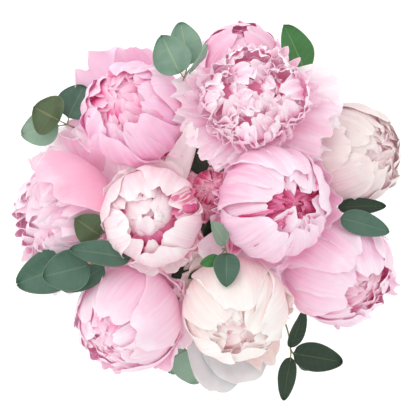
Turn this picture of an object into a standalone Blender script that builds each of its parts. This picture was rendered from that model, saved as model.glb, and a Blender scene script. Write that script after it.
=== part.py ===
"""Peonies and eucalyptus in a plain glazed vase. Metres, +Z up, origin at the centre of the vase's foot.

Each peony is a stem with its calyx, a whorl of guard petals, a whorl of wrapping petals and a heart of
small petals packed into a ball. Every stem runs down through one ring in the vase's neck.
"""
import math

import bmesh
import bpy
from mathutils import Matrix, Vector

# ---- driving dimensions ----
VASE_HEIGHT = 0.215
VASE_WALL = 0.0045
VASE_BASE = 0.007
FOOT_RADIUS = 0.052
BELLY_RADIUS = 0.074
NECK_RADIUS = 0.049          # outside the wall
LIP_RADIUS = 0.054
VASE_STEPS = 28

BALL_DIAMETER = 0.110        # a typical half-open peony: the bouquet's layout scales with it
PETAL_THICKNESS = 0.0008
STEM_DIAMETER = 0.0064
SPRIG_DIAMETER = 0.0032
PETIOLE_DIAMETER = 0.0018
LEAF_STALK_DIAMETER = 0.0025 # of a peony leaf, below its leaflets
LEAF_THICKNESS = 0.0006
BLADE_ROWS = 3               # along a leaf's blade
NODE_SPACING = 0.0013        # between the leaves of one sprig, back from the end of the twig
GAP = 0.0003                 # between pieces that touch
TUBE_TILT = 0.35             # radians: turns a thin stem's corners out of the plane of the blade that it carries
SEPAL_CLEARANCE = 0.0006     # between the sepals and the guard petals
SEPAL_HALF_WIDTH = 22        # degrees round the bloom's axis
SEPAL_REACH = (46, 39)       # degrees up from the base, by turns
STEM_CLEARANCE = 0.0030      # between the ring of stems and the neck

# Shares of a bloom's radius
WRAP_SHARE = 0.86
HEART_SHARE = 0.70
RECEPTACLE_SHARE = 0.20

LAYOUT_SCALE = BALL_DIAMETER / 0.110

# ---- layout, for a 110 mm ball: x, y and the height above the vase's lip, in metres ----
# facing is the way the bloom's mouth looks; guards lists (azimuth, reach, curve, half width) of each guard
# petal in the bloom's own frame, where reach is the angle that it climbs from the base, and curve is its
# radius of curvature as a share of the ball's.
CLOSED_GUARDS = [(20, 104, 1.0, 34), (92, 110, 1.0, 34), (164, 100, 1.0, 34), (236, 112, 1.0, 34), (308, 102, 1.0, 34)]
OPEN_GUARDS = [(0, 74, 1.5, 25), (52, 80, 1.4, 24), (104, 78, 1.45, 24), (156, 70, 1.3, 24), (205, 78, 1.0, 22),
               (253, 84, 0.92, 22), (307, 84, 0.92, 24)]
LOOSE_GUARDS = [(40, 122, 1.02, 34), (112, 112, 1.0, 34), (184, 84, 1.14, 34), (256, 80, 1.14, 34), (328, 88, 0.98, 34)]
WRAPS = [(36, 138, 1.0, 42), (126, 130, 1.0, 42), (216, 142, 1.0, 42), (306, 126, 1.0, 42)]

BLOOMS = [
    dict(name="centre_left", centre=(-0.056, -0.007, 0.172), facing=(0.0, -0.06, 1.0), radius=0.050,
         guards=CLOSED_GUARDS),
    dict(name="centre_right", centre=(0.067, 0.006, 0.172), facing=(0.42, 0.0, 0.90), radius=0.056,
         guards=CLOSED_GUARDS),
    dict(name="upper_left", centre=(-0.076, 0.098, 0.147), facing=(-0.30, 0.28, 0.90), radius=0.053,
         guards=CLOSED_GUARDS),
    dict(name="open", centre=(0.046, 0.110, 0.172), facing=(-0.05, 0.10, 1.0), radius=0.048,
         guards=OPEN_GUARDS),
    dict(name="top", centre=(0.035, 0.153, 0.084), facing=(0.0, 0.78, 0.62), radius=0.043,
         guards=CLOSED_GUARDS),
    dict(name="right", centre=(0.150, 0.058, 0.112), facing=(0.68, 0.05, 0.73), radius=0.052,
         guards=CLOSED_GUARDS),
    dict(name="lower_right", centre=(0.138, -0.066, 0.107), facing=(0.58, -0.38, 0.72), radius=0.056,
         guards=CLOSED_GUARDS),
    dict(name="bottom", centre=(0.028, -0.104, 0.142), facing=(0.15, -0.50, 0.85), radius=0.0535,
         guards=CLOSED_GUARDS),
    dict(name="lower_left", centre=(-0.083, -0.115, 0.127), facing=(-0.50, -0.45, 0.74), radius=0.0545,
         guards=CLOSED_GUARDS),
    dict(name="left", centre=(-0.152, -0.006, 0.112), facing=(-0.62, -0.25, 0.74), radius=0.051,
         guards=LOOSE_GUARDS),
    dict(name="inner", centre=(-0.002, 0.014, 0.108), facing=(0.05, 0.0, 1.0), radius=0.029,
         guards=CLOSED_GUARDS),
]

# A sprig: the points that its stem follows above the neck, then its leaves as (base, tip, width, face),
# where face is the way the blade looks. Each leaf hangs from the end of the stem or the route point named.
SPRIGS = [
    dict(name="top_left", route=[(-0.020, 0.062, 0.055), (-0.026, 0.118, 0.120), (-0.024, 0.131, 0.180)],
         leaves=[dict(at=2, base=(-0.028, 0.135, 0.187), tip=(-0.046, 0.172, 0.196), width=0.039, face=(-0.1, -0.2, 1)),
                 dict(at=2, base=(-0.020, 0.143, 0.180), tip=(-0.028, 0.187, 0.172), width=0.034, face=(0.2, 0.2, 1)),
                 dict(at=2, base=(-0.020, 0.136, 0.190), tip=(-0.003, 0.163, 0.204), width=0.030, face=(0.8, -0.6, 0.1))]),
    dict(name="top_right", route=[(0.050, 0.054, 0.045), (0.094, 0.114, 0.080), (0.089, 0.147, 0.120)],
         leaves=[dict(at=2, base=(0.088, 0.150, 0.126), tip=(0.082, 0.193, 0.142), width=0.036, face=(0.35, -0.2, 1))]),
    dict(name="left_upper", route=[(-0.070, 0.048, 0.045), (-0.120, 0.075, 0.082), (-0.149, 0.088, 0.114)],
         leaves=[dict(at=2, base=(-0.155, 0.091, 0.119), tip=(-0.181, 0.105, 0.126), width=0.045, face=(-0.25, 0.1, 1)),
                 dict(at=2, base=(-0.156, 0.086, 0.110), tip=(-0.196, 0.078, 0.098), width=0.036, face=(-0.3, 0.0, 1)),
                 dict(at=2, base=(-0.146, 0.094, 0.116), tip=(-0.130, 0.128, 0.108), width=0.038, face=(0.1, 0.1, 1))]),
    dict(name="left_middle", route=[(-0.070, -0.008, 0.045), (-0.097, -0.030, 0.095), (-0.106, -0.024, 0.146)],
         leaves=[dict(at=2, base=(-0.110, -0.028, 0.152), tip=(-0.135, -0.010, 0.167), width=0.034, face=(-0.1, 0.1, 1))]),
    dict(name="left_lower", route=[(-0.062, -0.034, 0.050), (-0.084, -0.048, 0.102), (-0.096, -0.052, 0.146)],
         leaves=[dict(at=2, base=(-0.121, -0.058, 0.157), tip=(-0.168, -0.070, 0.157), width=0.043, face=(-0.1, -0.1, 1)),
                 dict(at=2, base=(-0.098, -0.047, 0.153), tip=(-0.143, -0.043, 0.162), width=0.025, face=(0.1, 0.5, 1)),
                 dict(at=2, base=(-0.134, -0.055, 0.141), tip=(-0.198, -0.079, 0.118), width=0.046, face=(-0.3, 0.0, 1)),
                 dict(at=2, base=(-0.106, -0.060, 0.148), tip=(-0.150, -0.084, 0.142), width=0.024, face=(-0.2, -0.4, 1))]),
    dict(name="centre", route=[(0.005, -0.036, 0.060), (0.012, -0.042, 0.120), (0.018, -0.041, 0.172)],
         leaves=[dict(at=2, base=(0.017, -0.036, 0.178), tip=(0.003, -0.013, 0.196), width=0.018, face=(0.3, 0.2, 1)),
                 dict(at=2, base=(0.019, -0.046, 0.178), tip=(0.018, -0.079, 0.194), width=0.027, face=(0.0, -0.5, 1)),
                 dict(at=2, base=(0.011, -0.050, 0.180), tip=(-0.008, -0.056, 0.184), width=0.013, face=(0, -0.2, 1)),
                 dict(at=1, base=(0.006, -0.038, 0.126), tip=(-0.008, -0.036, 0.158), width=0.030, face=(0.3, -0.3, 1))]),
    dict(name="bottom_right", route=[(0.056, -0.078, 0.040), (0.082, -0.122, 0.075), (0.088, -0.153, 0.090)],
         leaves=[dict(at=2, base=(0.090, -0.154, 0.091), tip=(0.143, -0.164, 0.082), width=0.031, face=(0, 0.1, 1)),
                 dict(at=2, base=(0.088, -0.158, 0.090), tip=(0.081, -0.205, 0.078), width=0.020, face=(-0.3, 0, 1)),
                 dict(at=1, base=(0.085, -0.122, 0.078), tip=(0.090, -0.099, 0.098), width=0.018, face=(0.8, 0, 0.6)),
                 dict(at=2, base=(0.093, -0.160, 0.085), tip=(0.112, -0.170, 0.072), width=0.020, face=(0, 0.5, 1))]),
    dict(name="bottom", route=[(-0.016, -0.070, 0.040), (-0.024, -0.118, 0.062), (-0.022, -0.148, 0.080)],
         leaves=[dict(at=2, base=(-0.021, -0.151, 0.081), tip=(-0.013, -0.188, 0.070), width=0.040, face=(-0.1, -0.2, 1)),
                 dict(at=2, base=(-0.027, -0.146, 0.076), tip=(-0.040, -0.178, 0.058), width=0.030, face=(-0.3, -0.3, 1))]),
    dict(name="right", route=[(0.070, -0.008, 0.045), (0.112, -0.005, 0.085), (0.130, -0.003, 0.128)],
         leaves=[dict(at=2, base=(0.134, 0.000, 0.132), tip=(0.184, 0.001, 0.130), width=0.018, face=(0, 0.4, 1)),
                 dict(at=2, base=(0.136, -0.009, 0.135), tip=(0.186, -0.025, 0.134), width=0.026, face=(0.1, 0.3, 1))]),
]

# The leaves low on the outer stems: the bloom whose stem carries it, the turn of the leaf in degrees away
# from that stem's bearing in the neck, and the droop of its far end.
FOLIAGE = [
    dict(bloom="upper_left", turn=-9, droop=0.016), dict(bloom="top", turn=-9, droop=0.010),
    dict(bloom="right", turn=-9, droop=0.016), dict(bloom="lower_right", turn=-9, droop=0.012),
    dict(bloom="bottom", turn=-9, droop=0.018), dict(bloom="left", turn=9, droop=0.016),
]
FOLIAGE_REACH = (0.061, 0.138)      # from the vase's axis to the leaf's joint and to its middle tip
FOLIAGE_RISE = 0.012                # of the leaf's joint above the vase's lip
LEAFLET_WIDTH = 0.0175
LEAFLET_STALK = 0.010
LEAFLET_FAN = 46                    # degrees between leaflets

COLOURS = {
    "glaze": (0.86, 0.85, 0.82), "stem": (0.20, 0.33, 0.10), "leaf": (0.17, 0.30, 0.20),
    "blush": (0.92, 0.78, 0.80), "pink": (0.92, 0.62, 0.74), "rose": (0.86, 0.45, 0.62), "cream": (0.93, 0.88, 0.84),
}
PALE_BLOOMS = {"centre_left": "blush", "bottom": "cream", "right": "blush", "lower_right": "blush"}


# ---- Blender helpers ----
def clear_scene():
    for obj in list(bpy.data.objects):
        bpy.data.objects.remove(obj)


def new_collection(name, hidden=False):
    collection = bpy.data.collections.new(name)
    bpy.context.scene.collection.children.link(collection)
    collection.hide_render = hidden
    return collection


def material(name, roughness=0.5):
    found = bpy.data.materials.get(name)
    if found:
        return found
    made = bpy.data.materials.new(name)
    made.use_nodes = True
    shader = made.node_tree.nodes["Principled BSDF"]
    shader.inputs["Base Color"].default_value = (*COLOURS[name], 1.0)
    shader.inputs["Roughness"].default_value = roughness
    shader.inputs["Metallic"].default_value = 0.0
    return made


def mesh_object(name, bm, collection):
    bmesh.ops.recalc_face_normals(bm, faces=bm.faces)
    data = bpy.data.meshes.new(name)
    bm.to_mesh(data)
    bm.free()
    obj = bpy.data.objects.new(name, data)
    collection.objects.link(obj)
    return obj


def evaluated_copy(obj, name, collection, weld=True):
    """The object with its modifiers applied, as a plain mesh; the original is removed. A joined solid isn't welded."""
    bpy.context.view_layer.update()
    graph = bpy.context.evaluated_depsgraph_get()
    data = bpy.data.meshes.new_from_object(obj.evaluated_get(graph))
    bm = bmesh.new()
    bm.from_mesh(data)
    if weld:
        bmesh.ops.remove_doubles(bm, verts=bm.verts, dist=1e-6)
    bmesh.ops.transform(bm, matrix=obj.matrix_world, verts=bm.verts)
    bpy.data.objects.remove(obj)
    bpy.data.meshes.remove(data)
    return mesh_object(name, bm, collection)


def union(name, pieces, collection):
    """One solid from pieces that overlap. The Manifold solver also joins blades that cross near a stalk's end."""
    first, rest = pieces[0], pieces[1:]
    for i, piece in enumerate(rest):
        join = first.modifiers.new(f"join_{i}", "BOOLEAN")
        join.operation = "UNION"
        join.solver = "MANIFOLD"
        join.object = piece
    joined = evaluated_copy(first, name, collection, weld=False)
    for piece in rest:
        bpy.data.objects.remove(piece)
    joined.data.shade_smooth()
    joined.data.set_sharp_from_angle(angle=math.radians(50))
    return joined


# ---- shapes ----
def tube(name, points, diameter, scratch, sides=1, taper=1.0):
    """A round stem along the points; bevel_resolution 1 gives it 6 sides and 0 gives it 4."""
    curve = bpy.data.curves.new(name, "CURVE")
    curve.dimensions = "3D"
    curve.bevel_depth = diameter / 2
    curve.bevel_resolution = sides
    curve.use_fill_caps = True
    spline = curve.splines.new("POLY")
    spline.points.add(len(points) - 1)
    for i, (point, place) in enumerate(zip(spline.points, points)):
        point.co = (*place, 1.0)
        point.radius = 1.0 + (taper - 1.0) * i / (len(points) - 1)
        point.tilt = TUBE_TILT
    obj = bpy.data.objects.new(name, curve)
    scratch.objects.link(obj)
    return evaluated_copy(obj, name, scratch)


def bezier(a, b, c, d, count):
    """Points of a cubic curve from a to d, leaving out a."""
    points = []
    for i in range(1, count + 1):
        t = i / count
        s = 1.0 - t
        points.append(a * s ** 3 + b * 3 * s * s * t + c * 3 * s * t * t + d * t ** 3)
    return points


def through(points, per_span):
    """A smooth curve through the points, as a list of points."""
    made = [points[0]]
    for i in range(len(points) - 1):
        a, b = points[i], points[i + 1]
        before = points[i - 1] if i else a
        after = points[i + 2] if i + 2 < len(points) else b
        made += bezier(a, a + (b - before) / 6, b - (after - a) / 6, b, per_span)
    return made


def disc(name, radius, low, high, scratch, segments=10):
    """A short round block about the local axis, from low to high."""
    bm = bmesh.new()
    bmesh.ops.create_cone(bm, cap_ends=True, segments=segments, radius1=radius, radius2=radius, depth=high - low)
    bmesh.ops.translate(bm, vec=(0, 0, (low + high) / 2), verts=bm.verts)
    return mesh_object(name, bm, scratch)


def knob(name, place, radius, scratch):
    """The small swelling where leaflets join their stalk."""
    bm = bmesh.new()
    bmesh.ops.create_uvsphere(bm, u_segments=6, v_segments=4, radius=radius)
    bmesh.ops.translate(bm, vec=place, verts=bm.verts)
    return mesh_object(name, bm, scratch)


def petal(name, ball, azimuth, reach, curve, half_width, scratch, across=2, along=3, start=9):
    """A cupped petal, a sector of a sphere whose lowest point is the ball's: it climbs from the base by reach degrees."""
    radius = ball * curve
    lift = radius - ball
    bm = bmesh.new()
    bmesh.ops.create_grid(bm, x_segments=across, y_segments=along, size=1)
    for vert in bm.verts:
        u, v = vert.co.x, (vert.co.y + 1) / 2
        tip_round = 1 - 0.12 * u * u
        climb = math.radians(start / curve + (reach * tip_round - start / curve) * v)
        turn = math.radians(azimuth + half_width * u * (1 - 0.22 * v ** 4))
        out = Vector((math.cos(turn), math.sin(turn), 0)) * math.sin(climb)
        vert.co = (out - Vector((0, 0, math.cos(climb)))) * radius + Vector((0, 0, lift))
    obj = mesh_object(name, bm, scratch)
    shell = obj.modifiers.new("thickness", "SOLIDIFY")
    shell.thickness = PETAL_THICKNESS
    shell.offset = 0.0
    return evaluated_copy(obj, name, scratch)


def whorl(name, ball, base_height, petals, collection, scratch):
    """Petals joined where they grow from, on a block that stands in for their share of the receptacle."""
    pieces = [disc(name + "_block", ball * RECEPTACLE_SHARE, -ball - PETAL_THICKNESS, -ball + base_height, scratch)]
    for i, (azimuth, reach, curve, half_width) in enumerate(petals):
        pieces.append(petal(f"{name}_{i}", ball, azimuth, reach, curve, half_width, scratch))
    return union(name, pieces, collection)


def heart(name, ball, collection):
    """The packed small petals: a ball with shallow folds winding into a dimpled mouth."""
    bm = bmesh.new()
    bmesh.ops.create_uvsphere(bm, u_segments=10, v_segments=6, radius=ball)
    for vert in bm.verts:
        azimuth = math.atan2(vert.co.y, vert.co.x)
        height = vert.co.z / ball
        fold = 0.045 * math.sin(3 * azimuth + 2.5 * height)
        level = math.sqrt(max(0.0, 1 - height * height))
        vert.co *= 1 + fold * level
        if height > 0.95:
            vert.co.z *= 0.86
    obj = mesh_object(name, bm, collection)
    obj.data.shade_smooth()
    return obj


def leaf(name, node, base, tip, width, face, scratch, point=0.8):
    """A thin leaf that looks towards face, a little cupped and bowed, on a flat stalk that runs back to its node."""
    axis = tip - base
    length = axis.length
    axis.normalize()
    side = axis.cross(face).normalized()
    up = side.cross(axis).normalized()
    stalk = (base - node).normalized()
    stalk_side = (side - stalk * stalk.dot(side)).normalized()
    bm = bmesh.new()
    bmesh.ops.create_grid(bm, x_segments=2, y_segments=2 + BLADE_ROWS - 1, size=1)
    for vert in bm.verts:
        u, row = vert.co.x, round((vert.co.y + 1) / 2 * (BLADE_ROWS + 1))
        if row == 0:
            vert.co = node + stalk_side * u * PETIOLE_DIAMETER / 2
        elif row == 1:
            vert.co = base + side * u * PETIOLE_DIAMETER / 2
        else:
            v = (row - 1) / BLADE_ROWS
            half = width / 2 * (0.05 + 0.95 * math.sin(math.pi * v ** point) ** 0.75)
            cup = 0.10 * width * u * u
            bow = 0.06 * length * math.sin(math.pi * v)
            vert.co = base + axis * length * v + side * half * u + up * (cup + bow)
    obj = mesh_object(name, bm, scratch)
    shell = obj.modifiers.new("thickness", "SOLIDIFY")
    shell.thickness = LEAF_THICKNESS
    shell.offset = 0.0
    return evaluated_copy(obj, name, scratch)


# ---- the vase ----
def make_vase(collection):
    """A bellied vase turned about Z, as one closed wall with a flat foot."""
    height = VASE_HEIGHT
    outer = [(LIP_RADIUS, height), (NECK_RADIUS, height * 0.90), (NECK_RADIUS * 1.04, height * 0.82),
             (BELLY_RADIUS * 0.90, height * 0.64), (BELLY_RADIUS, height * 0.42), (BELLY_RADIUS * 0.93, height * 0.20),
             (FOOT_RADIUS * 1.06, height * 0.04), (FOOT_RADIUS, 0.0)]
    inner = [(radius - VASE_WALL, z) for radius, z in outer[:-2]]
    floor_radius = FOOT_RADIUS - VASE_WALL
    profile = [Vector((0, 0, VASE_BASE)), Vector((floor_radius * 0.9, 0, VASE_BASE))]
    profile += [Vector((radius, 0, z)) for radius, z in reversed(inner)]
    profile += [Vector((radius, 0, z)) for radius, z in outer]
    profile.append(Vector((0, 0, 0)))
    bm = bmesh.new()
    verts = [bm.verts.new(place) for place in profile]
    for a, b in zip(verts, verts[1:]):
        bm.edges.new((a, b))
    data = bpy.data.meshes.new("vase")
    bm.to_mesh(data)
    bm.free()
    obj = bpy.data.objects.new("vase", data)
    collection.objects.link(obj)
    turn = obj.modifiers.new("turn", "SCREW")
    turn.steps = VASE_STEPS
    turn.render_steps = VASE_STEPS
    turn.use_merge_vertices = True
    turn.merge_threshold = 0.0001
    obj.data.materials.append(material("glaze", 0.25))
    return obj


# ---- the ring of stems ----
def bearing(place):
    return math.atan2(place[1], place[0])


def above_lip(place):
    """A layout place in the vase's frame."""
    x, y, z = place
    return Vector((x * LAYOUT_SCALE, y * LAYOUT_SCALE, VASE_HEIGHT + z * LAYOUT_SCALE))


def ring_slots():
    """Each stem's bearing in the neck: even steps round it, in the order of the bearings that they grow to."""
    aims = {"stem_" + b["name"]: bearing(b["centre"]) for b in BLOOMS}
    aims.update({"sprig_" + s["name"]: bearing(s["route"][1]) for s in SPRIGS})
    order = sorted(aims, key=aims.get)
    step = 2 * math.pi / len(order)
    turn = sum(aims[name] - i * step for i, name in enumerate(order)) / len(order)
    return {name: turn + i * step for i, name in enumerate(order)}


def lower_stem(angle, diameter):
    """Two points of a stem in the vase: on the floor, a little further round, and in the neck."""
    neck = NECK_RADIUS - VASE_WALL - STEM_CLEARANCE - STEM_DIAMETER / 2
    foot = FOOT_RADIUS - VASE_WALL * 2 - STEM_DIAMETER
    lean = angle + math.radians(24)
    low = Vector((foot * math.cos(lean), foot * math.sin(lean), VASE_BASE + diameter * 0.5))
    high = Vector((neck * math.cos(angle), neck * math.sin(angle), VASE_HEIGHT * 0.94))
    return low, high


# ---- peonies ----
def bloom_matrix(bloom):
    """The bloom's own frame: Z the way it faces, and azimuth 0 as near to the vase's +X as that allows."""
    centre = above_lip(bloom["centre"])
    facing = Vector(bloom["facing"]).normalized()
    across = (Vector((1, 0, 0)) - facing * facing.x).normalized()
    turned = Matrix((across, facing.cross(across), facing)).transposed()
    return Matrix.Translation(centre) @ turned.to_4x4()


def foliage_leaf(spec, path, scratch):
    """A peony leaf: a stalk from the stem that carries three pointed leaflets."""
    near, far = (reach * LAYOUT_SCALE for reach in FOLIAGE_REACH)
    node = path[2]
    angle = bearing(path[1]) + math.radians(spec["turn"])
    out = Vector((math.cos(angle), math.sin(angle), 0))
    joint = out * near + Vector((0, 0, VASE_HEIGHT + FOLIAGE_RISE))
    arch = Vector((0, 0, FOLIAGE_RISE * 0.3))
    stalk = tube("stalk", [node, node.lerp(joint, 0.5) + arch, joint], LEAF_STALK_DIAMETER, scratch, 0)
    pieces = [stalk, knob("joint", joint, LEAF_STALK_DIAMETER * 1.25, scratch)]
    for turn, share in ((-LEAFLET_FAN, 0.78), (0, 1.0), (LEAFLET_FAN, 0.78)):
        way = Matrix.Rotation(math.radians(turn), 3, "Z") @ out
        base = joint + way * LEAFLET_STALK
        tip = joint + way * (far - near) * share - Vector((0, 0, spec["droop"]))
        start = joint - way * LEAF_STALK_DIAMETER * 0.2
        pieces.append(leaf(f"leaflet_{turn}", start, base, tip, LEAFLET_WIDTH, Vector((0, 0, 1)), scratch))
    return pieces


def make_peony(bloom, slots, collection, scratch):
    name = bloom["name"]
    radius = bloom["radius"] * LAYOUT_SCALE
    place = bloom_matrix(bloom)
    wrap = radius * WRAP_SHARE
    core = radius * HEART_SHARE
    colour = material(PALE_BLOOMS.get(name, "pink"), 0.6)

    guard_base = radius - wrap - PETAL_THICKNESS - GAP
    guards = whorl(f"guard_petals_{name}", radius, guard_base, bloom["guards"], collection, scratch)
    wrap_base = wrap - core - GAP
    wrapped = whorl(f"wrap_petals_{name}", wrap, wrap_base, WRAPS, collection, scratch)
    ball = heart(f"heart_petals_{name}", core * 0.94, collection)
    for obj in (guards, wrapped, ball):
        obj.matrix_world = place
        obj.data.materials.append(colour)

    # The stem climbs from the vase, through the neck, and arrives square to the bloom with its calyx.
    top = -radius - PETAL_THICKNESS - GAP
    calyx = radius * 0.06
    low, high = lower_stem(slots["stem_" + name], STEM_DIAMETER)
    end = place @ Vector((0, 0, top - calyx))
    arrive = place.to_3x3() @ Vector((0, 0, 1))
    reach = (end - high).length
    path = [low, high]
    path += bezier(high, high + (high - low).normalized() * reach * 0.35, end - arrive * reach * 0.40, end, 5)
    path.append(end + arrive * calyx * 0.5)
    flare = max(curve for _, _, curve, _ in bloom["guards"])
    sag = math.cos(math.radians(SEPAL_HALF_WIDTH / 2)) * math.cos(math.radians(max(SEPAL_REACH) / 4))
    cup = (radius + PETAL_THICKNESS + SEPAL_CLEARANCE) / (1 - flare * (1 - sag))
    pieces = [tube("stalk", path, STEM_DIAMETER, scratch)]
    block = disc("receptacle", radius * RECEPTACLE_SHARE * 0.8, top - calyx, top, scratch)
    block.matrix_world = place
    pieces.append(block)
    for i in range(5):
        sepal = petal(f"sepal_{i}", cup, 20 + 72 * i, SEPAL_REACH[i % 2] / flare, flare, SEPAL_HALF_WIDTH, scratch,
                      along=2, start=6)
        sepal.matrix_world = place
        pieces.append(sepal)
    for spec in FOLIAGE:
        if spec["bloom"] == name:
            pieces += foliage_leaf(spec, path, scratch)
    stem = union(f"stem_{name}", pieces, collection)
    stem.data.materials.append(material("stem", 0.6))


# ---- greenery ----
def make_sprig(sprig, slots, collection, scratch):
    name = "sprig_" + sprig["name"]
    low, high = lower_stem(slots[name], SPRIG_DIAMETER)
    stops = [above_lip(place) for place in sprig["route"]]
    path = [low] + through([high, high + Vector((0, 0, VASE_HEIGHT * 0.10))] + stops, 3)
    pieces = [tube("twig", path, SPRIG_DIAMETER, scratch, sides=0, taper=0.7)]
    for i, spec in enumerate(sprig["leaves"]):
        base, tip = above_lip(spec["base"]), above_lip(spec["tip"])
        back = (stops[spec["at"] - 1] - stops[spec["at"]]).normalized()
        node = stops[spec["at"]] + back * NODE_SPACING * (i + 1)
        pieces.append(leaf(f"leaf_{i}", node, base, tip, spec["width"] * LAYOUT_SCALE, Vector(spec["face"]), scratch))
    made = union(name, pieces, collection)
    made.data.materials.append(material("leaf", 0.6))


def main():
    clear_scene()
    collection = new_collection("peonies_in_a_vase")
    scratch = new_collection("scratch")
    make_vase(collection)
    slots = ring_slots()
    for bloom in BLOOMS:
        make_peony(bloom, slots, collection, scratch)
    for sprig in SPRIGS:
        make_sprig(sprig, slots, collection, scratch)
    bpy.data.collections.remove(scratch)


main()
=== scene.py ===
import math

import bmesh
import bpy
from mathutils import Matrix, Vector


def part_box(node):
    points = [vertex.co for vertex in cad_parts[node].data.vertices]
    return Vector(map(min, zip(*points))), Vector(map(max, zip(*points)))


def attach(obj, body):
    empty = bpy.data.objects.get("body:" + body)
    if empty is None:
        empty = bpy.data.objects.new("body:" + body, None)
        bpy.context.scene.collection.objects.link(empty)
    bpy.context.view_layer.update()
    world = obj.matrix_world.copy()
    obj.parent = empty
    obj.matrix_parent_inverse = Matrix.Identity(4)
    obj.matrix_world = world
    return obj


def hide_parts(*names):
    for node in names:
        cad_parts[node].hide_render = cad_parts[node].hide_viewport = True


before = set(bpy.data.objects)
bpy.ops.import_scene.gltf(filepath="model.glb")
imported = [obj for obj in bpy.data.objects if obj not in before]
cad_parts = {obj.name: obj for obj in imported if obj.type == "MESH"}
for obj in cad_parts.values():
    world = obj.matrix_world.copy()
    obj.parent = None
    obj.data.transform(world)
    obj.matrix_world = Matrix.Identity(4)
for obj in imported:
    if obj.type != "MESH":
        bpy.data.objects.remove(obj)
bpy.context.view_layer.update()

degree = math.pi / 180


# A node socket that sums and multiplies by adding Math nodes, so that a rule reads like a formula
class Field:
    def __init__(self, tree, socket):
        self.tree, self.socket = tree, socket

    def __add__(self, other):
        return combine("ADD", self, other)

    def __sub__(self, other):
        return combine("SUBTRACT", self, other)

    def __rsub__(self, other):
        return combine("SUBTRACT", other, self)

    def __mul__(self, other):
        return combine("MULTIPLY", self, other)

    def __truediv__(self, other):
        return combine("DIVIDE", self, other)

    def __rtruediv__(self, other):
        return combine("DIVIDE", other, self)

    def __pow__(self, other):
        return combine("POWER", self, other)

    __radd__ = __add__
    __rmul__ = __mul__


def addNode(tree, kind, inputs={}, **settings):  # an input takes a constant, a socket or a field
    node = tree.nodes.new(kind)
    for label, value in settings.items():
        setattr(node, label, value)
    for label, value in inputs.items():
        feed(tree, node.inputs[label], value)
    return node


def feed(tree, socket, value):
    if isinstance(value, Field):
        tree.links.new(value.socket, socket)
    elif isinstance(value, bpy.types.NodeSocket):
        tree.links.new(value, socket)
    else:
        socket.default_value = value


def treeOf(values):
    return next(value.tree for value in values if isinstance(value, Field))


def combine(operation, *values):
    tree = treeOf(values)
    node = addNode(tree, "ShaderNodeMath", dict(enumerate(values)), operation=operation)
    return Field(tree, node.outputs[0])


def sine(x):
    return combine("SINE", x)


def cosine(x):
    return combine("COSINE", x)


def blend(t, start, end):  # start where t is 0, end where it is 1
    return t * (end - start) + start


def vector(*axes):
    tree = treeOf(axes)
    return Field(tree, addNode(tree, "ShaderNodeCombineXYZ", dict(enumerate(axes))).outputs[0])


def separate(place):
    node = addNode(place.tree, "ShaderNodeSeparateXYZ", {0: place})
    return [Field(place.tree, axis) for axis in node.outputs]


def vectorMath(operation, first, second):  # SCALE takes a vector and a number, the others take two vectors
    inputs = {0: first, "Scale" if operation == "SCALE" else 1: second}
    node = addNode(first.tree, "ShaderNodeVectorMath", inputs, operation=operation)
    return Field(first.tree, node.outputs[0])


def smooth(x, low, high):  # 0 below low, 1 above high, eased between
    inputs = {"Value": x, "From Min": low, "From Max": high}
    node = addNode(x.tree, "ShaderNodeMapRange", inputs, interpolation_type="SMOOTHSTEP")
    return Field(x.tree, node.outputs["Result"])


def noise(place, w, scale, detail, output="Fac"):
    inputs = {"Vector": place, "W": w, "Scale": scale, "Detail": detail}
    node = addNode(place.tree, "ShaderNodeTexNoise", inputs, noise_dimensions="4D")
    return Field(place.tree, node.outputs[output])


def newTree(name, settings):
    tree = bpy.data.node_groups.new(name, "GeometryNodeTree")
    face = tree.interface
    face.new_socket("Geometry", in_out="OUTPUT", socket_type="NodeSocketGeometry")
    face.new_socket("Geometry", in_out="INPUT", socket_type="NodeSocketGeometry")
    for label, value in settings.items():
        kind = "NodeSocketInt" if isinstance(value, int) else "NodeSocketFloat"
        face.new_socket(label, in_out="INPUT", socket_type=kind).default_value = value
    face.new_socket("Material", in_out="INPUT", socket_type="NodeSocketMaterial")
    entry = tree.nodes.new("NodeGroupInput")
    return tree, entry, {label: Field(tree, entry.outputs[label]) for label in settings}


def finishTree(tree, entry, geometry):  # every tree ends in Realize Instances and Set Material
    realize = addNode(tree, "GeometryNodeRealizeInstances", {"Geometry": geometry})
    paint = addNode(tree, "GeometryNodeSetMaterial", {"Geometry": realize.outputs["Geometry"],
                                                      "Material": entry.outputs["Material"]})
    addNode(tree, "NodeGroupOutput", {"Geometry": paint.outputs["Geometry"]})
    return tree


def store(geometry, name, value, kind="FLOAT", domain="POINT"):
    inputs = {"Geometry": geometry, "Name": name, "Value": value}
    node = addNode(value.tree, "GeometryNodeStoreNamedAttribute", inputs, data_type=kind, domain=domain)
    return node.outputs["Geometry"]


def read(tree, name):
    node = addNode(tree, "GeometryNodeInputNamedAttribute", {"Name": name}, data_type="FLOAT")
    return Field(tree, node.outputs["Attribute"])


def chance(which, seed):  # a number from -1 to 1 for each petal, always the same for one seed
    inputs = {2: -1.0, 3: 1.0, "ID": which, "Seed": seed}
    node = addNode(which.tree, "FunctionNodeRandomValue", inputs, data_type="FLOAT")
    return Field(which.tree, node.outputs[1])


def source(tree, kind, output=0):  # a node without inputs, such as Position or Index
    return Field(tree, addNode(tree, kind).outputs[output])


def flatGrid(tree, given):
    return addNode(tree, "GeometryNodeMeshGrid", {"Size X": 2.0, "Size Y": 2.0, "Vertices X": given["Across"],
                                                  "Vertices Y": given["Along"]}).outputs["Mesh"]


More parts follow.
